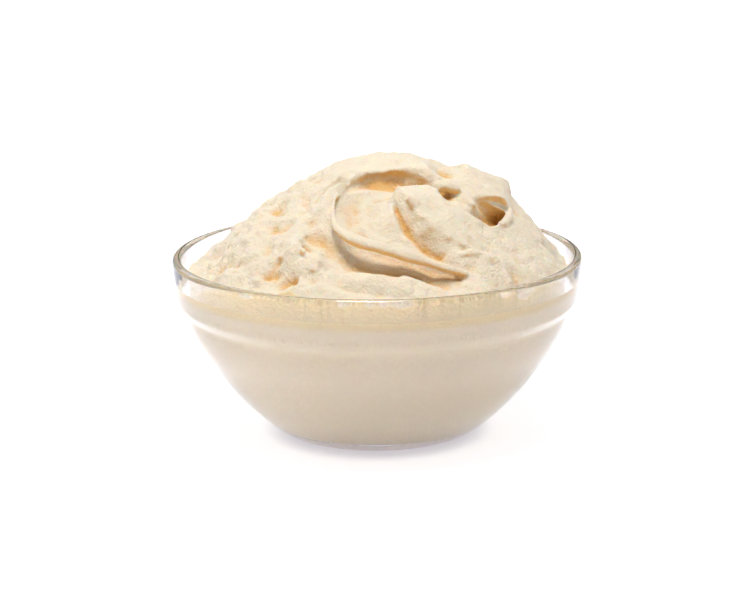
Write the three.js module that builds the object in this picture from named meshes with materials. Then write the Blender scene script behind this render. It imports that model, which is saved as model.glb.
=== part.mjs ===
// Hummus heaped in a clear pressed-glass stacking bowl. Millimetres, +Z up,
// origin at the middle of the bowl's foot, where it stands on the table.
// The mound's swirls were laid by a spoon that went round anticlockwise seen from above.
import * as THREE from "three";

// The glass bowl.
const RIM_RADIUS = 70;
const BOWL_HEIGHT = 61;
const RIM_ROUNDING = 1.7;
const COLLAR_FOOT_RADIUS = 68.6;
const COLLAR_FOOT_HEIGHT = 46;
const SHOULDER_RADIUS = 65.2;
const SHOULDER_HEIGHT = 42.2;
const FOOT_RADIUS = 32.5;
const BODY_BULGE = new THREE.Vector2(66.1, 29.9);
const FOOT_HANDLE = 5.7;
const WALL = 3.1;
const FLOOR_THICKNESS = 4.5;
const FLOOR_RADIUS = 25;
const LEDGE_TOP_HEIGHT = 50.2;
const LEDGE_TOP_RADIUS = 65.8;
const LEDGE_FOOT_HEIGHT = 46.8;
const LEDGE_FOOT_RADIUS = 62.7;
const BOWL_SEGMENTS = 60;
const BODY_STEPS = 9;
const RIM_STEPS = 4;

// The hummus.
const GLASS_GAP = 0.3;
const MOUND_SEGMENTS = 96;
const MOUND_RINGS = 24;
const PEAK = new THREE.Vector2(5.65, 2.4);
const PEAK_HEIGHT = 93;
const EDGE_FADE = 0.12;
const PATH_STEPS = 24;
// How steeply the mound's flank falls, and the height where it meets the glass, by direction
// in degrees from +X.
const FLANK_POWER = [[0, 2.32], [90, 2.05], [180, 1.83], [270, 2.15]];
const CONTACT_HEIGHT = [
  [0, 54.5], [60, 56.5], [120, 58], [180, 52], [205, 56], [235, 58.2], [270, 58.6], [305, 58.4], [335, 56.5],
];

// What the spoon left: each mark follows a path across the mound, seen from above, and stands
// rise above its surroundings, or lies below them where rise is negative. It fades out over
// left and right, to either side of its path.
const SPOON_MARKS = [
  { name: "arch", path: [[-20, 0], [-6, 3], [6, 2], [16, -4], [24, -11]], rise: 2.4, left: 6, right: 9 },
  { name: "inner stroke", path: [[17, -18], [4, -18], [-4, -26], [-3, -38], [6, -45], [20, -47], [34, -45]],
    rise: -6.4, left: 8, right: 7 },
  { name: "channel", path: [[11, -26], [13, -35], [18, -41], [26, -43]], rise: -2.4, left: 4.5, right: 5.5 },
  { name: "long ridge", path: [[-13, -23], [-14, -35], [-7, -47], [7, -52], [24, -52]],
    rise: 2.6, left: 5, right: 5 },
  { name: "outer stroke", path: [[-24, -30], [-16, -41], [-4, -50], [10, -54], [26, -53]],
    rise: -4.6, left: 6, right: 7.5 },
  { name: "front shelf", path: [[-18, -54], [0, -60], [18, -58]], rise: -2, left: 5, right: 5 },
  { name: "torn lip", path: [[7, -27], [12, -34], [19, -40], [31, -41]], rise: 3, left: 7, right: 4.5 },
  { name: "top lump", path: [[31, -8], [40, -8]], rise: 5.2, left: 7, right: 8 },
  { name: "pocket", path: [[29, -25], [35, -26], [41, -19]], rise: -4.4, left: 5.5, right: 5.5 },
  { name: "right swath", path: [[28, -26], [37, -33], [47, -24], [55, -6]], rise: -2.5, left: 7, right: 6 },
  { name: "fold lobe", path: [[29, -45], [36, -44], [41, -47]], rise: 2.4, left: 4, right: 4 },
  { name: "left ridge", path: [[-40, -6], [-42, -20], [-41, -32], [-37, -43]], rise: 2, left: 5, right: 5 },
  { name: "left hollow", path: [[-34, -15], [-28, -24], [-24, -34]], rise: -2.4, left: 5, right: 5 },
  { name: "left flank", path: [[-60, -14], [-60, 8]], rise: -3.4, left: 8, right: 8 },
  { name: "right flank", path: [[60, -14], [60, 4]], rise: -2.6, left: 8, right: 8 },
  { name: "back trough", path: [[38, 10], [28, 22], [12, 30], [-8, 30], [-24, 20], [-33, 8]],
    rise: -4.6, left: 7, right: 7 },
  { name: "back ridge", path: [[50, 8], [42, 26], [22, 40], [0, 43], [-22, 36], [-38, 22]],
    rise: 2.4, left: 5, right: 6 },
  { name: "outer trough", path: [[57, 14], [44, 38], [14, 55], [-20, 53], [-44, 36]],
    rise: -3, left: 5, right: 5 },
];

// The outer curve of the body, from the edge of the foot up to the shoulder.
function bodyCurve() {
  return new THREE.CubicBezierCurve(
    new THREE.Vector2(FOOT_RADIUS, 0),
    new THREE.Vector2(FOOT_RADIUS + FOOT_HANDLE, 0),
    BODY_BULGE,
    new THREE.Vector2(SHOULDER_RADIUS, SHOULDER_HEIGHT),
  );
}

// The same curve moved inwards by the wall's thickness, and never lower than the inside floor.
function insideCurve() {
  const outer = bodyCurve();
  const points = [];
  for (let i = 0; i <= BODY_STEPS; i += 1) {
    const t = i / BODY_STEPS;
    const tangent = outer.getTangent(t);
    const point = outer.getPoint(t).add(new THREE.Vector2(-tangent.y, tangent.x).multiplyScalar(WALL));
    if (point.y > FLOOR_THICKNESS) points.push(point);
  }
  return points;
}

// The half circle over the rim, from its outer side to its inner side.
function rimArc() {
  const points = [];
  for (let i = 0; i <= RIM_STEPS; i += 1) {
    const angle = (Math.PI * i) / RIM_STEPS;
    points.push(
      new THREE.Vector2(
        RIM_RADIUS - RIM_ROUNDING + RIM_ROUNDING * Math.cos(angle),
        BOWL_HEIGHT - RIM_ROUNDING + RIM_ROUNDING * Math.sin(angle),
      ),
    );
  }
  return points;
}

// The inside of the bowl, from the middle of its floor up to the top of the ledge on which a
// smaller bowl's foot would hang.
function insideProfile() {
  return [
    new THREE.Vector2(0, FLOOR_THICKNESS),
    new THREE.Vector2(FLOOR_RADIUS, FLOOR_THICKNESS),
    ...insideCurve(),
    new THREE.Vector2(LEDGE_FOOT_RADIUS, LEDGE_FOOT_HEIGHT),
    new THREE.Vector2(LEDGE_TOP_RADIUS, LEDGE_TOP_HEIGHT),
  ];
}

// A lathed solid about +Z from a profile of radii and heights.
function turned(profile) {
  return new THREE.LatheGeometry(profile, BOWL_SEGMENTS).rotateX(Math.PI / 2);
}

function bowlGeometry() {
  return turned([
    new THREE.Vector2(0, 0),
    ...bodyCurve().getPoints(BODY_STEPS),
    new THREE.Vector2(COLLAR_FOOT_RADIUS, COLLAR_FOOT_HEIGHT),
    ...rimArc(),
    ...insideProfile().reverse(),
  ]);
}

// A value given for a few directions, read at any angle, smoothly all the way round.
function aroundTheBowl(stops, angle) {
  const degrees = (THREE.MathUtils.radToDeg(angle) + 360) % 360;
  let next = stops.findIndex((stop) => stop[0] > degrees);
  if (next < 0) next = stops.length;
  const from = stops[next - 1];
  const to = next < stops.length ? stops[next] : [stops[0][0] + 360, stops[0][1]];
  const share = THREE.MathUtils.smoothstep(degrees, from[0], to[0]);
  return THREE.MathUtils.lerp(from[1], to[1], share);
}

// Radius of the hummus where it touches the collar at a height above the ledge.
function collarRadius(height) {
  const share = (height - LEDGE_TOP_HEIGHT) / (BOWL_HEIGHT - RIM_ROUNDING - LEDGE_TOP_HEIGHT);
  const rimInside = RIM_RADIUS - 2 * RIM_ROUNDING;
  return THREE.MathUtils.lerp(LEDGE_TOP_RADIUS, rimInside, share) - GLASS_GAP;
}

// The inside profile moved off the glass by the gap.
function pressedProfile() {
  const inside = insideProfile();
  return inside.map((point, i) => {
    const before = inside[Math.max(i - 1, 0)];
    const after = inside[Math.min(i + 1, inside.length - 1)];
    const along = after.clone().sub(before).normalize();
    const off = new THREE.Vector2(-along.y, along.x).multiplyScalar(GLASS_GAP);
    return new THREE.Vector2(i === 0 ? 0 : point.x + off.x, point.y + off.y);
  });
}

// Signed distance in plan from a point to a path: positive to the left of its direction.
function distanceToPath(path, x, y) {
  let best = Infinity;
  let side = 1;
  for (let i = 0; i + 1 < path.length; i += 1) {
    const a = path[i];
    const dx = path[i + 1].x - a.x;
    const dy = path[i + 1].y - a.y;
    const t = THREE.MathUtils.clamp(((x - a.x) * dx + (y - a.y) * dy) / (dx * dx + dy * dy), 0, 1);
    const distance = Math.hypot(x - a.x - t * dx, y - a.y - t * dy);
    if (distance < best) {
      best = distance;
      side = Math.sign(dx * (y - a.y) - dy * (x - a.x)) || 1;
    }
  }
  return side * best;
}

const markPaths = SPOON_MARKS.map((mark) => {
  const curve = new THREE.SplineCurve(mark.path.map(([x, y]) => new THREE.Vector2(x, y)));
  return curve.getPoints(PATH_STEPS);
});

// How far the spoon's marks lift the surface at a point in plan.
function relief(x, y) {
  return SPOON_MARKS.reduce((sum, mark, i) => {
    const distance = distanceToPath(markPaths[i], x, y);
    const reach = distance > 0 ? mark.left : mark.right;
    return sum + mark.rise * Math.exp(-((distance / reach) ** 2));
  }, 0);
}

// Height of the top surface at a share of the way from the peak to the glass.
function topPoint(angle, share) {
  const contact = aroundTheBowl(CONTACT_HEIGHT, angle);
  const wall = collarRadius(contact);
  const edge = new THREE.Vector2(wall * Math.cos(angle), wall * Math.sin(angle));
  const place = PEAK.clone().lerp(edge, share);
  const power = aroundTheBowl(FLANK_POWER, angle);
  const smooth = contact + (PEAK_HEIGHT - contact) * (1 - share ** power);
  const fade = THREE.MathUtils.smoothstep(1 - share, 0, EDGE_FADE);
  return new THREE.Vector3(place.x, place.y, smooth + fade * relief(place.x, place.y));
}

// Rings of points from the middle of the floor, up the glass, and in over the mound to its peak.
function hummusGeometry() {
  const pressed = pressedProfile();
  const rings = pressed.slice(1).map((point) => (angle) =>
    new THREE.Vector3(point.x * Math.cos(angle), point.x * Math.sin(angle), point.y));
  for (let i = MOUND_RINGS; i > 0; i -= 1) rings.push((angle) => topPoint(angle, i / MOUND_RINGS));
  const positions = [0, 0, pressed[0].y];
  for (const ring of rings) {
    for (let j = 0; j < MOUND_SEGMENTS; j += 1) positions.push(...ring((2 * Math.PI * j) / MOUND_SEGMENTS));
  }
  const peak = topPoint(0, 0);
  positions.push(...peak);
  const geometry = new THREE.BufferGeometry();
  geometry.setAttribute("position", new THREE.Float32BufferAttribute(positions, 3));
  geometry.setIndex(ringFaces(rings.length));
  geometry.computeVertexNormals();
  return geometry;
}

// Faces between a first point, the rings after it, and a last point, all facing out.
function ringFaces(ringCount) {
  const faces = [];
  const last = 1 + ringCount * MOUND_SEGMENTS;
  const at = (ring, j) => 1 + ring * MOUND_SEGMENTS + (j % MOUND_SEGMENTS);
  for (let j = 0; j < MOUND_SEGMENTS; j += 1) {
    faces.push(0, at(0, j + 1), at(0, j));
    for (let ring = 0; ring + 1 < ringCount; ring += 1) {
      faces.push(at(ring, j), at(ring, j + 1), at(ring + 1, j + 1));
      faces.push(at(ring, j), at(ring + 1, j + 1), at(ring + 1, j));
    }
    faces.push(last, at(ringCount - 1, j), at(ringCount - 1, j + 1));
  }
  return faces;
}

function bowl() {
  const glass = new THREE.MeshStandardMaterial({
    color: 0xe9efe9,
    roughness: 0.03,
    metalness: 0,
    transparent: true,
    opacity: 0.3,
  });
  const mesh = new THREE.Mesh(bowlGeometry(), glass);
  mesh.name = "bowl";
  return mesh;
}

function hummus() {
  const paste = new THREE.MeshStandardMaterial({ color: 0xeed9b4, roughness: 0.55, metalness: 0 });
  const mesh = new THREE.Mesh(hummusGeometry(), paste);
  mesh.name = "hummus";
  return mesh;
}

const group = new THREE.Group();
group.add(bowl(), hummus());

export default group;
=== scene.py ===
"""Hummus heaped in a clear glass stacking bowl, on a plain pale studio floor."""

import math

import bpy
import numpy as np
import openvdb
from mathutils import Matrix, Vector


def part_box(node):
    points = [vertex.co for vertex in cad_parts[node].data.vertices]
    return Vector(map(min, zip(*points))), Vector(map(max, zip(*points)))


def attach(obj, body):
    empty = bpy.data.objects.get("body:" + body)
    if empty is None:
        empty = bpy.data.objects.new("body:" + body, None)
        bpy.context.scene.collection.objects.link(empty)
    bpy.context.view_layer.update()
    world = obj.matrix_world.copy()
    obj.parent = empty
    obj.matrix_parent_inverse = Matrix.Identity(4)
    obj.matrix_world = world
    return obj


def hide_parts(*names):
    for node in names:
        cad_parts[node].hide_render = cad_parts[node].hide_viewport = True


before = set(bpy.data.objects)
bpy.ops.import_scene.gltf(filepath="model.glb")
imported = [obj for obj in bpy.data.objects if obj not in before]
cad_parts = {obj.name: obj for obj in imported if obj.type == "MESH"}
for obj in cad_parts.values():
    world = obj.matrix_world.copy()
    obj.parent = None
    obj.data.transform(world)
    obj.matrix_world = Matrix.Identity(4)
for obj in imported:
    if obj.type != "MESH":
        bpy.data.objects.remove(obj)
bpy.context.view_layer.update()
MM = 0.001

# ---- The glass bowl ---------------------------------------------------------------------------
# One piece of clear pressed soda-lime glass with a faint grey-green cast: a fire-polished rim, a
# collar that stands out over a step, and inside it the ledge on which a nested bowl would hang.

bowl_low, bowl_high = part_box("bowl")
RIM_RADIUS = bowl_high.x / MM
BOWL_HEIGHT = bowl_high.z / MM
RIM_ROUNDING = 1.7
COLLAR_FOOT = (68.6, 46.0)
SHOULDER = (65.2, 42.2)
BULGE = (66.1, 29.9)
FOOT_RADIUS = 32.5
FOOT_HANDLE = 5.7
WALL = 3.1
FLOOR_THICKNESS = 4.5
FLOOR_RADIUS = 25.0
LEDGE_TOP = (65.8, 50.2)
LEDGE_FOOT = (62.7, 46.8)
STEP_FILLET = 1.1
LEDGE_FILLET = 1.0
BODY_STEPS = 60
RIM_STEPS = 16
TURN_STEPS = 288


def bezier(start, start_handle, end_handle, end, steps):
    """Points along a cubic curve, as radius and height."""
    t = np.linspace(0, 1, steps)[:, None]
    points = [np.array(p, float) for p in (start, start_handle, end_handle, end)]
    return ((1 - t) ** 3 * points[0] + 3 * (1 - t) ** 2 * t * points[1]
            + 3 * (1 - t) * t ** 2 * points[2] + t ** 3 * points[3])


def fillet(before, corner, after, radius, steps=7):
    """A corner of a profile eased off over a short curve."""
    corner = np.array(corner, float)
    ends = []
    for other in (before, after):
        arm = np.array(other, float) - corner
        ends.append(corner + arm * min(radius / np.hypot(*arm), 0.5))
    t = np.linspace(0, 1, steps)[:, None]
    return (1 - t) ** 2 * ends[0] + 2 * (1 - t) * t * corner + t ** 2 * ends[1]


def lathe(name, profile, steps):
    """A closed skin turned about the upright axis; the profile starts and ends on that axis."""
    angles = 2 * np.pi * np.arange(steps) / steps
    rings = profile[1:-1]
    skin = np.stack([np.outer(rings[:, 0], np.cos(angles)), np.outer(rings[:, 0], np.sin(angles)),
                     np.repeat(rings[:, 1:], steps, 1)], -1).reshape(-1, 3)
    poles = [(0, 0, profile[0][1]), (0, 0, profile[-1][1])]
    corners = [len(skin), len(skin) + 1]
    faces = []
    for j in range(steps):
        k = (j + 1) % steps
        faces.append((corners[0], k, j))
        faces.append((corners[1], (len(rings) - 1) * steps + j, (len(rings) - 1) * steps + k))
        faces += [(i * steps + j, i * steps + k, (i + 1) * steps + k, (i + 1) * steps + j)
                  for i in range(len(rings) - 1)]
    mesh = bpy.data.meshes.new(name)
    mesh.from_pydata((np.concatenate([skin, poles]) * MM).tolist(), [], faces)
    mesh.shade_smooth()
    made = bpy.data.objects.new(name, mesh)
    bpy.context.scene.collection.objects.link(made)
    return made


body = bezier((FOOT_RADIUS, 0), (FOOT_RADIUS + FOOT_HANDLE, 0), BULGE, SHOULDER, BODY_STEPS)
along = np.gradient(body, axis=0)
along /= np.hypot(*along.T)[:, None]
lining = body + WALL * np.stack([-along[:, 1], along[:, 0]], 1)
lining = lining[lining[:, 1] > FLOOR_THICKNESS + 0.3]
rim_turn = np.linspace(0, np.pi, RIM_STEPS)
rim = np.stack([RIM_RADIUS - RIM_ROUNDING + RIM_ROUNDING * np.cos(rim_turn),
                BOWL_HEIGHT - RIM_ROUNDING + RIM_ROUNDING * np.sin(rim_turn)], 1)
inside = np.concatenate([
    [(0, FLOOR_THICKNESS), (FLOOR_RADIUS, FLOOR_THICKNESS)], lining[:-3],
    fillet(lining[-4], LEDGE_FOOT, LEDGE_TOP, LEDGE_FILLET),
    fillet(LEDGE_FOOT, LEDGE_TOP, rim[-1], LEDGE_FILLET)])
outside = np.concatenate([
    [(0, 0), (FOOT_RADIUS - 0.5, 0)], body[:-3],
    fillet(body[-4], SHOULDER, COLLAR_FOOT, STEP_FILLET),
    fillet(SHOULDER, COLLAR_FOOT, rim[0], STEP_FILLET)])
bowl = lathe("glass_bowl", np.concatenate([outside, rim, inside[::-1]]), TURN_STEPS)


class Wire:
    """A socket of a material's nodes. Sums on it add Math nodes, and node() adds any other."""

    def __init__(self, tree, socket=None):
        self.tree = tree
        self.socket = socket

    def node(self, kind, settings=None, sockets=None, output=0):
        made = self.tree.nodes.new("ShaderNode" + kind)
        for name, value in (settings or {}).items():
            setattr(made, name, value)
        for name, value in (sockets or {}).items():
            if isinstance(value, Wire):
                self.tree.links.new(value.socket, made.inputs[name])
            else:
                made.inputs[name].default_value = value
        return Wire(self.tree, made.outputs[output] if made.outputs else None)

    def math(self, operation, first, second):
        return self.node("Math", {"operation": operation}, {0: first, 1: second})

    def __add__(self, other):
        return self.math("ADD", self, other)

    def __sub__(self, other):
        return self.math("SUBTRACT", self, other)

    def __rsub__(self, other):
        return self.math("SUBTRACT", other, self)

    def __mul__(self, other):
        return self.math("MULTIPLY", self, other)

    __radd__ = __add__
    __rmul__ = __mul__


def new_material(name):
    """An empty material, and the start of its wiring."""
    material = bpy.data.materials.new(name)
    material.use_nodes = True
    material.node_tree.nodes.clear()
    return material, Wire(material.node_tree)


clear_glass, glass = new_material("clear_glass")
clear = glass.node("BsdfPrincipled", {}, {
    "Base Color": (0.85, 0.835, 0.85, 1), "Roughness": 0.0, "IOR": 1.5, "Transmission Weight": 1.0})
lamp_way = glass.node("BsdfTransparent", {}, {"Color": (0.93, 0.94, 0.93, 1)})
shadow_ray = glass.node("LightPath", output="Is Shadow Ray")
glass.node("OutputMaterial", {}, {
    "Surface": glass.node("MixShader", {}, {0: shadow_ray, 1: clear, 2: lamp_way})})
bowl.data.materials.append(clear_glass)
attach(bowl, "root")
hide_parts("bowl")

# ---- The hummus ---------------------------------------------------------------------------------
# Chickpeas and tahini blended to a thick moist paste, spooned in until it touches the glass all
# round, then heaped and swirled anticlockwise with the back of the spoon. It holds by itself.

CELL = 0.56
BAND_BOTTOM = 45.0
WALL_CELL = 1.5
SINK = 0.15
KEPT_SHARE = 0.52
SMOOTHED_GRAIN = 0.5
DROPPED_GRAIN = 0.55
TORN_GRAIN = 0.8
RIDGE_CALM = 0.6
# The next values set the painted shade: a deep orange laid into folds and onto steep or downward faces.
FOLD_CELLS = 15
FOLD_SHADE_START = 0.515
FOLD_SHADE_RANGE = 0.18
STEEP_SHADE_START = 0.34
STEEP_SHADE_RANGE = 0.75
# Painted light: above this height the skin pressed behind the collar is tinted a warmer yellow, as if lit
# from above.
COLLAR_LIGHT_LOW = 49.5
COLLAR_LIGHT_FADE = 3.0
LUMP_BOX = ((10, 60), (-40, 20), (70, 99))
WALL_REACH = 0.4
FLOOR_REACH = 0.9
PEAK = np.array([5.65, 2.4])
PEAK_HEIGHT = 93.0
# By direction in degrees from +X: where the paste meets the glass, and how full the flank is.
CONTACT_HEIGHT = [(0, 54.5), (60, 56.5), (120, 58), (180, 52), (205, 56), (235, 58.2), (270, 58.6),
                  (305, 58.4), (335, 56.5)]
FLANK_POWER = [(0, 2.32), (90, 2.05), (180, 1.83), (270, 2.15)]

rng = np.random.default_rng(7)
inside_low = inside[1:]
span = float(inside_low[:, 0].max()) + 1.0
across = np.arange(-span, span + CELL, CELL)
levels = np.concatenate([np.arange(FLOOR_THICKNESS - 1.5, BAND_BOTTOM, WALL_CELL),
                         np.arange(BAND_BOTTOM, PEAK_HEIGHT + 4, CELL)])
plan_x, plan_y = np.meshgrid(across, across, indexing="ij")


def around(stops, angle):
    """A value given for a few directions in degrees from +X, read smoothly at any angle."""
    turn = np.degrees(angle) % 360
    places, values = np.array(stops + [(stops[0][0] + 360, stops[0][1])], float).T
    i = np.clip(np.searchsorted(places, turn, side="right") - 1, 0, len(stops) - 1)
    t = (turn - places[i]) / (places[i + 1] - places[i])
    return values[i] + (values[i + 1] - values[i]) * t * t * (3 - 2 * t)


def dome_height(x, y):
    """The smooth heap without its marks: it falls from the peak to where it meets the glass."""
    out = np.stack([x, y], -1) - PEAK
    length = np.linalg.norm(out, axis=-1) + 1e-6
    out /= length[..., None]
    towards = out @ PEAK
    glass_radius = LEDGE_TOP[0] + 0.4
    full = -towards + np.sqrt(towards ** 2 - PEAK @ PEAK + glass_radius ** 2)
    rim_point = PEAK + out * full[..., None]
    angle = np.arctan2(rim_point[..., 1], rim_point[..., 0])
    contact = around(CONTACT_HEIGHT, angle)
    share = np.minimum(length / full, 1.25)
    return contact + (PEAK_HEIGHT - contact) * (1 - share ** around(FLANK_POWER, angle))


def smooth_path(points, steps=10):
    """Points joined by an even Catmull-Rom curve; every column is carried along it."""
    points = np.array(points, float)
    padded = np.concatenate([2 * points[:1] - points[1:2], points, 2 * points[-1:] - points[-2:-1]])
    t = np.arange(steps)[:, None] / steps
    pieces = []
    for a, b, c, d in zip(padded, padded[1:], padded[2:], padded[3:]):
        pieces.append(0.5 * (2 * b + (c - a) * t + (2 * a - 5 * b + 4 * c - d) * t ** 2
                             + (3 * b - a - 3 * c + d) * t ** 3))
    return np.concatenate(pieces + [points[-1:]])


def blend_low(a, b, ease):
    """The lower of two, eased together where they cross."""
    return np.minimum(a, b) - np.maximum(ease - np.abs(a - b), 0) ** 2 / (4 * ease)


def blend_high(a, b, ease):
    return -blend_low(-a, -b, ease)


def follow(path):
    """Seen from above: signed distance to a path, positive on its left, and its columns there."""
    rail = smooth_path(path)
    best = np.full(plan_x.shape, 1e6)
    side = np.ones(plan_x.shape)
    columns = [np.zeros(plan_x.shape) for _ in rail[0][2:]]
    for start, end in zip(rail, rail[1:]):
        step = end - start
        t = ((plan_x - start[0]) * step[0] + (plan_y - start[1]) * step[1]) / (step[:2] @ step[:2])
        t = np.clip(t, 0, 1)
        dx = plan_x - start[0] - t * step[0]
        dy = plan_y - start[1] - t * step[1]
        distance = dx ** 2 + dy ** 2
        closer = distance < best
        best = np.where(closer, distance, best)
        side = np.where(closer, np.sign(step[0] * dy - step[1] * dx), side)
        columns = [np.where(closer, start[2 + i] + t * step[2 + i], column)
                   for i, column in enumerate(columns)]
    return side * np.sqrt(best), columns


def scoop(height, path, ease=1.5, comb=0.0, pitch=1.6):
    """Draws a round tool through the paste, along x, y, lift over the heap, radius to the left
    and radius to the right; comb leaves fine lines along its way."""
    offset, (lift, left, right) = follow(path)
    target = dome + lift + offset ** 2 / (2 * np.where(offset > 0, left, right))
    if comb:
        teeth = np.arange(-40, 40, pitch)
        target = target + comb * np.interp(offset, teeth, rng.standard_normal(len(teeth)))
    return blend_low(height, target, ease)


def roll(height, path, ease=1.5):
    """Piles up a rounded ridge along the same five columns."""
    offset, (lift, left, right) = follow(path)
    return blend_high(height, dome + lift - offset ** 2 / (2 * np.where(offset > 0, left, right)), ease)


def bump(height, x, y, rise, radius):
    """A soft lump, or a hollow where rise is negative."""
    return height + rise * np.exp(-((plan_x - x) ** 2 + (plan_y - y) ** 2) / radius ** 2)


def knots(places, spacing):
    """Cubic weights of evenly spaced random knots at each place along one axis."""
    at = (places - places[0]) / spacing
    away = np.abs(at[:, None] + 1 - np.arange(int(at[-1]) + 4))
    inner = 2 / 3 - away ** 2 + away ** 3 / 2
    return np.where(away < 1, inner, np.where(away < 2, (2 - away) ** 3 / 6, 0))


def lumpiness(spacing, *axes):
    """Random soft lumps of about one spacing, with a spread of one."""
    weights = [knots(axis, spacing) for axis in axes]
    values = rng.standard_normal([w.shape[1] for w in weights])
    for weight in weights:
        values = np.tensordot(values, weight, axes=(0, 1))
    return values / values.std()


dome = dome_height(plan_x, plan_y)
top = dome.copy()

# The untidy left side, dropped in by the spoonful.
inland = np.clip((66 - np.hypot(plan_x, plan_y)) / 8, 0, 1)
left_side = np.clip((-12 - plan_x) / 10, 0, 1) * np.clip((16 - plan_y) / 14, 0.1, 1)
clumps = 0.8 * lumpiness(9, across, across) + 0.5 * lumpiness(5, across, across)
clumps += 0.5 * (np.abs(lumpiness(7, across, across)) - 0.8)
top += (0.45 + 0.4 * left_side) * inland * clumps - 1.1 * left_side * inland
for x, y, rise, radius in [
        (-34, -15, -2.8, 4.0), (-28, -24, -2.4, 4.5), (-44, -9, -2.0, 4.0), (-50, -5, -2.5, 5.0),
        (-55, -17, -2.0, 4.5), (-36, -45, -3.4, 4.5), (-26, -51, -2.4, 3.5),
        (-41, 8, 1.2, 4.0), (-30, 8, 1.4, 5.0), (47, -31, -1.6, 3.0), (52, -27, -2.2, 3.0),
        (-62, -4, -5.5, 8.0), (64, -6, -4.0, 9.0), (48, -4, -2.6, 6.0)]:
    top = bump(top, x, y, rise, radius)
top = roll(top, [(-40, -6, 0.4, 6, 5), (-42, -20, 1.3, 6, 4), (-41, -32, 1.8, 5, 3),
                 (-37, -43, 0.6, 5, 3)], 2.0)
top = roll(top, [(-33, -38, 0.5, 5, 2), (-30, -43, 1.8, 5, 1.4), (-26, -49, 1.8, 5, 1.4),
                 (-21, -54, 0.5, 5, 2)], 1.0)
top = scoop(top, [(-37, -39, -1.0, 3, 4), (-33.5, -44.5, -3.6, 2, 5), (-29.5, -50, -3.6, 2, 5),
                  (-24, -55, -1.0, 3, 4)], 1.0)

# The outer stroke, under the long ridge, and the shelf it leaves against the glass.
top = scoop(top, [(-24, -29, -0.6, 8, 8), (-19.5, -36, -3.4, 4, 8), (-15, -42, -5.6, 3, 7),
                  (-10, -46.5, -7.0, 3, 6), (-3, -50, -7.6, 3, 5), (4, -51.8, -7.4, 3, 5),
                  (12, -53.2, -6.8, 3, 5), (20, -53.8, -5.4, 3, 5), (28, -52.4, -2.8, 5, 6)],
            1.0, comb=0.35, pitch=2.2)
top = scoop(top, [(-22, -50, -0.6, 10, 12), (-12, -55, -3.0, 10, 12), (0, -58, -3.6, 10, 12),
                  (14, -57.5, -2.8, 10, 12), (28, -53, -0.4, 10, 12)], 1.5, comb=0.45, pitch=2.6)
top = scoop(top, [(-16, -51.5, -2.0, 3, 4), (-8, -54.2, -4.4, 2, 3.5), (1, -56, -5.0, 2, 3.5),
                  (9, -56.8, -4.2, 3, 4), (16, -57, -2.4, 3, 4)], 0.8)

# Small ridges left along that shelf.
for start_x, start_y, crest in [(-14, -55.5, -1.6), (-1, -58.0, -2.0), (9, -56.5, -2.4), (30, -55.0, 0.4)]:
    top = roll(top, [(start_x, start_y, crest - 1.6, 3, 1.2), (start_x + 7, start_y - 2.2, crest, 3, 1.0),
                     (start_x + 14, start_y - 3.2, crest, 3, 1.0),
                     (start_x + 21, start_y - 2.6, crest - 1.6, 3, 1.2)], 0.8)

# The inner stroke: from under the arch down the front and away to the right.
top = roll(top, [(-27, -2, 0.4, 30, 9), (-17, 3, 1.0, 30, 9), (-6, 4, 1.2, 40, 9), (3, 3, 1.4, 40, 9),
                 (12, -1, 1.2, 40, 9), (20, -8, 0.9, 30, 9), (26, -13, 0.0, 30, 9)], 2.0)
top = scoop(top, [(20, -20, -4.6, 12, 4), (12, -18.5, -5.8, 12, 4), (4, -18.5, -6.4, 14, 4.5),
                  (-2, -21, -6.8, 15, 6), (-4.5, -27, -7.0, 15, 9), (-4.5, -34, -6.8, 15, 9),
                  (-2, -40, -6.2, 14, 7.5), (4, -44, -5.6, 12, 7), (11, -46, -4.8, 12, 6),
                  (19, -47, -3.8, 12, 6), (27, -46.5, -2.8, 12, 6), (35, -45, -1.4, 12, 6)],
            1.0, comb=0.5, pitch=2.0)
top = scoop(top, [(23, -18, -0.6, 7, 7), (24, -8, -1.8, 6, 8), (25, 2, -2.0, 6, 8),
                  (26, 12, -0.8, 7, 8)], 2.5)
top = scoop(top, [(9.5, -21, -3.6, 1.2, 3), (10.2, -27, -6.8, 0.9, 3.4), (12, -33.5, -8.4, 0.9, 4.5),
                  (15, -38.2, -8.6, 0.9, 6), (18.8, -41.4, -7.9, 0.9, 7), (23.4, -43.4, -6.4, 1.1, 7),
                  (28.5, -43.8, -4.6, 1.5, 7), (35, -43, -2.4, 4, 6)], 0.9, comb=0.08)
top = scoop(top, [(-9, -13.5, -1.0, 3, 3), (-12, -14.8, -3.6, 1.2, 0.9), (-15.5, -17, -4.2, 1.2, 0.9),
                  (-19, -19.8, -3.4, 1.2, 0.9), (-23.5, -23.5, -0.6, 3, 3)], 0.5)

# The smooth lobe whose torn edge hangs over the stroke, and the broad swath to its right.
top = roll(top, [(1, -18, -14, 20, 0.8), (4.6, -22.6, -6, 20, 0.8), (6.8, -26, 0.9, 20, 0.8),
                 (9, -28.8, 1.3, 22, 0.8), (11.8, -33.8, 1.6, 24, 0.8), (14.5, -38, 1.4, 24, 0.8),
                 (18.5, -41, 1.0, 24, 0.8), (24, -42.4, 0.4, 24, 0.8), (31, -41.4, -1.4, 24, 1)], 0.5)
top = scoop(top, [(27, -24, -0.4, 30, 18), (31, -31, -1.4, 30, 18), (37, -33.5, -2.6, 30, 18),
                  (44, -29, -2.8, 26, 18), (51, -17, -1.8, 26, 18), (55, -3, -0.6, 26, 18)],
            2.0, comb=0.3, pitch=1.7)
top = roll(top, [(16, -24, 1.0, 3, 3), (20, -31, 1.3, 3, 3), (25, -36.5, 0.8, 3, 3),
                 (31, -38.5, -0.6, 3, 3)], 1.0)
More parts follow.
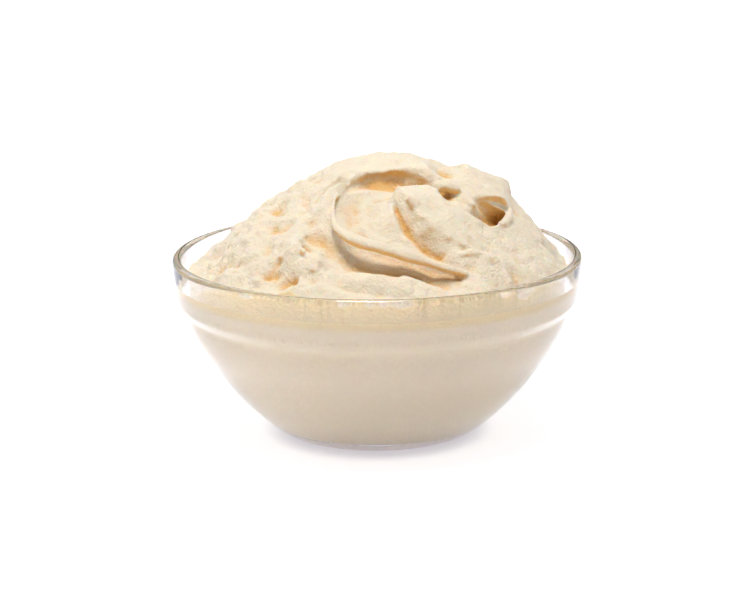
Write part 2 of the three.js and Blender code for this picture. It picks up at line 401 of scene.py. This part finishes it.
top = scoop(top, [(28, -50, -1.2, 4, 4), (33, -49.5, -2.4, 4, 4), (38, -50, -2.4, 4, 4)], 1.0)
top = roll(top, [(27, -44.5, -1.6, 5, 5), (33, -44, -0.8, 5, 5), (39, -45, -1.2, 5, 5)], 1.0)
top = scoop(top, [(42.5, -40.5, -1.0, 4, 1.4), (44, -43.5, -3.4, 4, 1.4), (44.4, -47, -4.0, 4, 1.6),
                  (43.5, -50, -3.0, 3, 2)], 0.8)

# The far side, swept round by the same spoon.
top = scoop(top, [(38, 10, -1.0, 18, 16), (28, 22, -3.8, 18, 10), (12, 30, -4.8, 18, 9),
                  (-8, 30, -4.6, 18, 9), (-24, 20, -3.0, 18, 12), (-33, 8, -0.4, 18, 16)],
            1.5, comb=0.14)
top = roll(top, [(50, 8, 0.2, 4, 9), (42, 26, 1.8, 3, 9), (22, 40, 2.4, 3, 8), (0, 43, 2.2, 3, 8),
                 (-22, 36, 1.4, 3, 9), (-38, 22, 0.2, 4, 9)], 1.2)
top = scoop(top, [(57, 14, -0.4, 10, 12), (44, 38, -2.8, 8, 6), (14, 56, -3.4, 8, 6),
                  (-20, 54, -3.0, 8, 6), (-44, 36, -0.6, 10, 10)], 1.5, comb=0.12)

# From here on the paste is a block of distances to its skin, so that lips can hang over.
slope_x, slope_y = np.gradient(top, CELL)
steepness = np.sqrt(1 + slope_x ** 2 + slope_y ** 2)
block = ((levels[None, None, :] - top[:, :, None]) / steepness[:, :, None]).astype(np.float32)


def near(path, reach):
    """The part of the block round a path, and its distances to a ball rolled along it."""
    rail = smooth_path([(x, y, dome_height(np.array(x), np.array(y)) + lift, r) for x, y, lift, r in path])
    low = rail[:, :3].min(0) - rail[:, 3].max() - reach
    high = rail[:, :3].max(0) + rail[:, 3].max() + reach
    part = tuple(slice(*np.searchsorted(axis, ends))
                 for axis, ends in zip((across, across, levels), zip(low, high)))
    x, y, z = (axis[s].astype(np.float32) for axis, s in zip((across, across, levels), part))
    x, y, z = x[:, None, None], y[None, :, None], z[None, None, :]
    closest = np.full((x.size, y.size, z.size), 1e3, np.float32)
    for start, end in zip(rail, rail[1:]):
        step = end - start
        t = ((x - start[0]) * step[0] + (y - start[1]) * step[1] + (z - start[2]) * step[2])
        t = np.clip(t / (step[:3] @ step[:3]), 0, 1)
        gap = (x - start[0] - t * step[0]) ** 2 + (y - start[1] - t * step[1]) ** 2
        gap = np.sqrt(gap + (z - start[2] - t * step[2]) ** 2) - start[3] - t * step[3]
        closest = np.minimum(closest, gap)
    return part, closest


def add(path, ease=1.0):
    """Lays a round bead of paste along a path of x, y, lift and radius."""
    part, gap = near(path, ease + 2)
    block[part] = blend_low(block[part], gap, ease)


def carve(path, ease=1.0):
    """Hollows the paste along a path of x, y, lift and radius."""
    part, gap = near(path, ease + 2)
    block[part] = blend_high(block[part], -gap, ease)


def boulder(faces, ease, blend):
    """Adds a lump bounded by flat faces, each an outward direction and a point on it."""
    part = tuple(slice(*np.searchsorted(axis, ends))
                 for axis, ends in zip((across, across, levels), LUMP_BOX))
    x, y, z = (axis[s] for axis, s in zip((across, across, levels), part))
    x, y, z = x[:, None, None], y[None, :, None], z[None, None, :]
    solid = None
    for way, point in faces:
        way = np.array(way) / np.linalg.norm(way)
        beyond = way[0] * (x - point[0]) + way[1] * (y - point[1]) + way[2] * (z - point[2])
        solid = beyond if solid is None else blend_high(solid, beyond, ease)
    block[part] = blend_low(block[part], solid.astype(np.float32), blend)


# The pocket at the top right, and the lump that overhangs it.
carve([(25.5, -21.5, 0.2, 1.2), (27.5, -24.5, 0.2, 2.3), (31, -26.5, -0.2, 3.2), (35, -25.0, -1.2, 3.8),
       (39, -21, -2.4, 3.6), (42, -17.5, -3.6, 2.8)], 1.2)
carve([(39.0, -17.8, -4.4, 1.3), (41.0, -15.6, -5.2, 1.4)], 0.7)
carve([(34.0, -21.5, -1.2, 2.2), (38.5, -19.5, -2.2, 2.5), (42.0, -17.0, -3.0, 2.2)], 1.2)
boulder([((-0.35, -0.35, 0.87), (30.5, -8, 91.9)), ((0.10, -0.62, 0.78), (33, -12, 90.0)),
         ((0.50, -0.22, 0.84), (32, -8, 91.0)), ((0.95, -0.10, 0.25), (43.2, -8, 84.5)),
         ((0.1, 0.5, 0.85), (31, -7, 92.2)), ((0.16, -0.70, -0.70), (30.8, -21.2, 84.0)),
         ((-0.85, -0.4, 0.3), (25.0, -15, 88))], 0.7, 1.2)
add([(40.8, -23.5, -2.2, 0.8), (42.6, -21.5, -1.6, 0.9), (44.0, -18, -1.0, 0.9),
     (44.6, -13, -0.8, 0.8)], 0.5)

# The arch's hollow underside.
carve([(21, -19.5, -2.8, 1.6), (15, -16, -3.4, 2.6), (8, -12.8, -3.7, 3.3), (2, -12.2, -3.7, 3.3),
       (-4, -14.5, -3.4, 2.7), (-8.5, -17.5, -2.8, 1.8)], 2.4)

# The long ridge along the stroke and the undercut below it.
carve([(-16, -40.5, -3.2, 1.4), (-10.5, -45, -3.3, 2.2), (-3, -48.4, -3.4, 2.9), (4, -50, -3.3, 2.9),
       (12, -51.4, -3.4, 2.5), (20, -52, -3.5, 2.1), (26, -51.6, -3.3, 1.3)], 0.9)
add([(-12.6, -22.5, -1.6, 0.4), (-13.8, -27.3, -0.5, 0.7), (-14.2, -34, -0.4, 0.9),
     (-13.2, -40, -0.3, 1.2), (-10.4, -45, 0.4, 1.6), (-5, -48.8, 0.5, 1.8), (2, -51.0, 0.4, 1.8),
     (9, -52.0, -0.2, 1.7), (16, -52.4, -1.0, 1.5), (22, -52.2, -1.6, 1.3), (28, -51.0, -2.2, 1.0)],
    1.2)

# The torn lip, its pointed tip, and the small tongue by the crease.
add([(5.8, -25.0, 1.2, 0.3), (7.2, -26.4, 0.7, 0.9), (10.2, -30.6, 0.5, 1.3), (13.2, -36, 0.2, 1.4),
     (17.4, -40.4, -0.2, 1.3), (23.6, -42.4, -0.8, 1.1), (30, -41.6, -2.2, 0.8)], 0.7)
carve([(17, -18.5, 0.4, 1.0), (21, -18.6, 0.2, 1.5), (25.5, -18.8, 0.0, 1.5), (28, -20.5, -0.6, 1.0)], 0.4)
add([(19.5, -21.8, -0.2, 1.2), (23.4, -21, 0.4, 1.5), (26.2, -20.6, 0.2, 1.1)], 0.6)
carve([(22, -23.4, 0.6, 0.8), (25, -23.2, 0.2, 0.9), (27.5, -22.6, -0.4, 0.8)], 0.4)

# The curled fold where the stroke ended.
add([(27, -46, -1.6, 0.7), (30.5, -44.6, -0.6, 1.1), (35, -43.6, -0.3, 1.3), (39, -44, -0.6, 1.4),
     (41.2, -46.6, -1.2, 1.3), (41.8, -50, -2.2, 1.1), (41, -53, -3.2, 0.8)], 1.4)

# Grain: coarse where the paste tore or was dropped, fine where the spoon smoothed it.
first_fine = np.searchsorted(levels, BAND_BOTTOM)
fine_levels = levels[first_fine:]
torn = SMOOTHED_GRAIN + DROPPED_GRAIN * left_side
torn_lip = [(8, -28), (11, -34), (18, -41), (28, -43)]
lump_top = [(28, -14), (36, -12), (43, -12)]
stroke_bed = [(9, -27), (9, -34), (9, -42)]
for path, reach in (torn_lip, 2.5), (lump_top, 7), (stroke_bed, 2.5):
    torn = np.maximum(torn, TORN_GRAIN * np.exp(-(follow(path)[0] / reach) ** 2))
long_ridge = [(-13, -20), (-14, -34), (-10, -45), (2, -51), (16, -52.6), (28, -51)]
torn *= 1 - RIDGE_CALM * np.exp(-(follow(long_ridge)[0] / 4) ** 2)
room = (across, across, fine_levels)
grain = 0.46 * lumpiness(4.0, *room) + 0.36 * lumpiness(2.2, *room)
grain += 0.22 * lumpiness(1.4, *room) + 0.35 * lumpiness(7.0, *room)
block[:, :, first_fine:] += (torn[:, :, None] * grain).astype(np.float32)

# The bowl bounds it: the skin there is pressed smooth.
wall_radius = np.interp(levels, inside_low[:, 1], inside_low[:, 0])
wall_lean = 1 / np.sqrt(1 + np.gradient(wall_radius, levels) ** 2)
to_glass = (np.hypot(plan_x, plan_y)[:, :, None] - wall_radius) * wall_lean
to_glass = np.maximum(to_glass, FLOOR_THICKNESS - levels[None, None, :]).astype(np.float32)
block = np.maximum(block, to_glass)

# How far each spot lies in a fold: the share of paste around it, within about 8 mm. It sets the painted
# shade in the folds.
crowd = np.clip(0.5 - block[:, :, first_fine:] / CELL, 0, 1)
for axis in (0, 1, 2, 0, 1, 2):
    margin = [(FOLD_CELLS // 2 + 1, FOLD_CELLS // 2) if a == axis else (0, 0) for a in range(3)]
    run = np.cumsum(np.pad(crowd, margin, mode="edge"), axis)
    ahead = np.take(run, range(FOLD_CELLS, run.shape[axis]), axis)
    behind = np.take(run, range(run.shape[axis] - FOLD_CELLS), axis)
    crowd = (ahead - behind) / FOLD_CELLS

volume = openvdb.FloatGrid(background=5.0)
volume.copyFromArray(block)
points, quads = volume.convertToQuads(isovalue=0.0)
points = points.astype(float)
skin = np.stack([np.interp(points[:, 0], np.arange(len(across)), across),
                 np.interp(points[:, 1], np.arange(len(across)), across),
                 np.interp(points[:, 2], np.arange(len(levels)), levels)], 1)

# Where it meets the glass the skin is laid on the wall's own curve, a touch into the glass.
reach = np.hypot(skin[:, 0], skin[:, 1])
wall = np.interp(skin[:, 2], inside_low[:, 1], inside_low[:, 0])
clearance = (wall - reach) * np.interp(skin[:, 2], levels, wall_lean)
on_floor = (skin[:, 2] < FLOOR_THICKNESS + FLOOR_REACH) & (reach < FLOOR_RADIUS)
on_wall = ((clearance < WALL_REACH) | (skin[:, 2] < BAND_BOTTOM)) & ~on_floor
skin[on_wall, :2] *= ((wall + SINK) / reach)[on_wall, None]
skin[on_floor, 2] = FLOOR_THICKNESS - SINK
pressed = (on_wall | on_floor).astype(float)

# Painted shade for folds and undersides is kept on the mesh for the colour, and so is painted light on the
# skin behind the collar.
cell = np.clip(np.round(points - (0, 0, first_fine)).astype(int), 0, np.array(crowd.shape) - 1)
fold_shade = np.where(points[:, 2] > first_fine + 6, crowd[tuple(cell.T)], 0.5)
fold_shade = np.where(pressed > 0, 0.5, fold_shade)

mesh = bpy.data.meshes.new("hummus_paste")
mesh.from_pydata((skin * MM).tolist(), [], quads.tolist())
facing = np.empty(len(skin) * 3, np.float32)
mesh.vertices.foreach_get("normal", facing)
# Painted shade: steep and downward faces, apart from the pressed skin, get the deep orange of a shaded
# crease.
underside_shade = np.clip((STEEP_SHADE_START - facing[2::3]) / STEEP_SHADE_RANGE, 0, 1) * (pressed < 0.5)
fold_shade = np.clip(np.maximum((fold_shade - FOLD_SHADE_START) / FOLD_SHADE_RANGE, underside_shade), 0, 1)
# Painted light: the pressed skin behind the collar is marked for a warmer yellow tint, standing in for
# light from above.
collar_painted_light = np.clip((skin[:, 2] - COLLAR_LIGHT_LOW) / COLLAR_LIGHT_FADE, 0, 1) * pressed
for name, values in ("fold_shade", fold_shade), ("collar_painted_light", collar_painted_light):
    mesh.attributes.new(name, "FLOAT", "POINT").data.foreach_set("value", values.astype(np.float32))
mesh.shade_smooth()
hummus = bpy.data.objects.new("hummus_paste", mesh)
bpy.context.scene.collection.objects.link(hummus)

# Even cells are finer than the flat stretches need, so about half of the faces are merged.
thinned = hummus.modifiers.new("thinned", "DECIMATE")
thinned.ratio = KEPT_SHARE

hummus_paste, paste = new_material("hummus_paste")
place = paste.node("TexCoord", output="Object")
speckle = paste.node("TexNoise", {}, {"Vector": place, "Scale": 900, "Detail": 4, "Roughness": 0.65})
drift = paste.node("TexNoise", {}, {"Vector": place, "Scale": 60, "Detail": 2})
tone = paste.node("Mix", {"data_type": "RGBA"}, {
    0: drift * 0.5 + speckle * 0.5, 6: (0.80, 0.68, 0.505, 1), 7: (0.90, 0.80, 0.632, 1)}, output=2)
fold_shade_read = paste.node("Attribute", {"attribute_name": "fold_shade"}, output="Fac")
painted_shade = paste.node("MapRange", {"interpolation_type": "SMOOTHSTEP"}, {
    "Value": fold_shade_read, "From Min": 0.0, "From Max": 1.0})
# Painted shade: folds and undersides turn a deep orange, standing in for shade and for light bounced
# within the paste.
tone = paste.node("Mix", {"data_type": "RGBA"}, {
    0: painted_shade, 6: tone, 7: (0.79, 0.47, 0.16, 1)}, output=2)
collar_light_share = paste.node("Attribute", {"attribute_name": "collar_painted_light"}, output="Fac")
# Painted light: the skin behind the collar turns a warmer yellow, as if lit from above through the glass.
tone = paste.node("Mix", {"data_type": "RGBA"}, {
    0: collar_light_share, 6: tone, 7: (0.93, 0.74, 0.41, 1)}, output=2)
relief = paste.node("Bump", {}, {"Strength": 1.0, "Distance": 0.0011, "Height": speckle})
skin_finish = paste.node("BsdfPrincipled", {"subsurface_method": "RANDOM_WALK"}, {
    "Base Color": tone, "Roughness": 0.5, "IOR": 1.4, "Subsurface Weight": 0.5,
    "Subsurface Radius": (1.0, 0.5, 0.22), "Subsurface Scale": 0.0008, "Normal": relief})
paste.node("OutputMaterial", {}, {"Surface": skin_finish})
hummus.data.materials.append(hummus_paste)
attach(hummus, "root")
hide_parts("hummus")

# ---- The studio ---------------------------------------------------------------------------------
# A white floor that glows evenly, save for a painted contact shadow round the foot where its glow
# is dimmed, runs out of sight. The main lamp hangs overhead; low warm lamps at the left, the right
# and the front fill the sides of the bowl.

SIDE = 6.0
SHADE_START = 0.030
SHADE_END = 0.0418
SHADE_OFFSET = 0.005
floor_mesh = bpy.data.meshes.new("studio_floor")
floor_corners = [(-SIDE, -SIDE, 0), (SIDE, -SIDE, 0), (SIDE, SIDE, 0), (-SIDE, SIDE, 0)]
floor_mesh.from_pydata(floor_corners, [], [(0, 1, 2, 3)])
floor = bpy.data.objects.new("studio_floor", floor_mesh)
bpy.context.scene.collection.objects.link(floor)
white_floor, ground = new_material("white_floor")
floor_place = ground.node("TexCoord", output="Object")
# Painted shadow: the floor's glow fades to a purple grey round the foot, reaching a little further in
# front.
from_foot = ground.node("VectorMath", {"operation": "ADD"}, {0: floor_place, 1: (0, SHADE_OFFSET, 0)})
away = ground.node("VectorMath", {"operation": "LENGTH"}, {0: from_foot}, output="Value")
beyond_painted_shadow = ground.node("MapRange", {"interpolation_type": "SMOOTHSTEP"}, {
    "Value": away, "From Min": SHADE_START, "From Max": SHADE_END})
glow_and_painted_shadow = ground.node("Mix", {"data_type": "RGBA"}, {
    0: beyond_painted_shadow, 6: (0.48, 0.475, 0.52, 1), 7: (1, 1, 1, 1)}, output=2)
ground.node("OutputMaterial", {}, {"Surface": ground.node("BsdfPrincipled", {}, {
    "Base Color": (0.75, 0.76, 0.86, 1), "Roughness": 0.7,
    "Emission Color": glow_and_painted_shadow, "Emission Strength": 0.69})})
floor.data.materials.append(white_floor)


def soft_lamp(name, place, aim, size, power, colour=(1, 1, 1)):
    lamp = bpy.data.lights.new(name, "AREA")
    lamp.shape = "RECTANGLE"
    lamp.size, lamp.size_y = size
    lamp.energy = power
    lamp.color = colour
    made = bpy.data.objects.new(name, lamp)
    made.location = place
    made.rotation_euler = (Vector(aim) - Vector(place)).to_track_quat("-Z", "Y").to_euler()
    bpy.context.scene.collection.objects.link(made)


soft_lamp("key", (-0.05, -0.1, 1.0), (0, 0, 0.08), (0.3, 0.3), 9.3, (0.985, 1.0, 1.03))
soft_lamp("left", (-1.0, -0.5, 0.15), (0, 0, 0.03), (0.3, 0.8), 2.6, (1.0, 0.95, 0.86))
soft_lamp("right", (1.1, -0.4, 0.15), (0, 0, 0.03), (0.2, 0.8), 1.5, (1.0, 0.88, 0.68))
soft_lamp("front", (0.1, -1.3, 0.12), (0, 0, 0.02), (1.2, 0.2), 0.9, (1.0, 0.92, 0.78))
soft_lamp("far_floor", (0, 2.4, 1.2), (0, 2.4, 0), (4.0, 1.5), 25.0)

world = bpy.data.worlds.new("studio")
world.use_nodes = True
sky = world.node_tree.nodes["Background"]
sky.inputs["Color"].default_value = (1, 0.97, 0.92, 1)
sky.inputs["Strength"].default_value = 0.22
bpy.context.scene.world = world
bpy.context.scene.view_settings.view_transform = "Standard"

# The camera stands low in front, a little turned about its own line of sight.
DISTANCE = 717.3
ELEVATION = math.radians(13.98)
TARGET = Vector((-0.84, 0, 43.84))
ROLL = math.radians(0.57)
camera = bpy.data.cameras.new("camera")
camera.lens = 100
camera.sensor_width = 36
eye = bpy.data.objects.new("camera", camera)
back = Vector((0, -math.cos(ELEVATION), math.sin(ELEVATION)))
eye.matrix_world = (Matrix.Translation((TARGET + back * DISTANCE) * MM)
                    @ Matrix.Rotation(math.pi / 2 - ELEVATION, 4, "X") @ Matrix.Rotation(-ROLL, 4, "Z"))
bpy.context.scene.collection.objects.link(eye)
bpy.context.scene.camera = eye
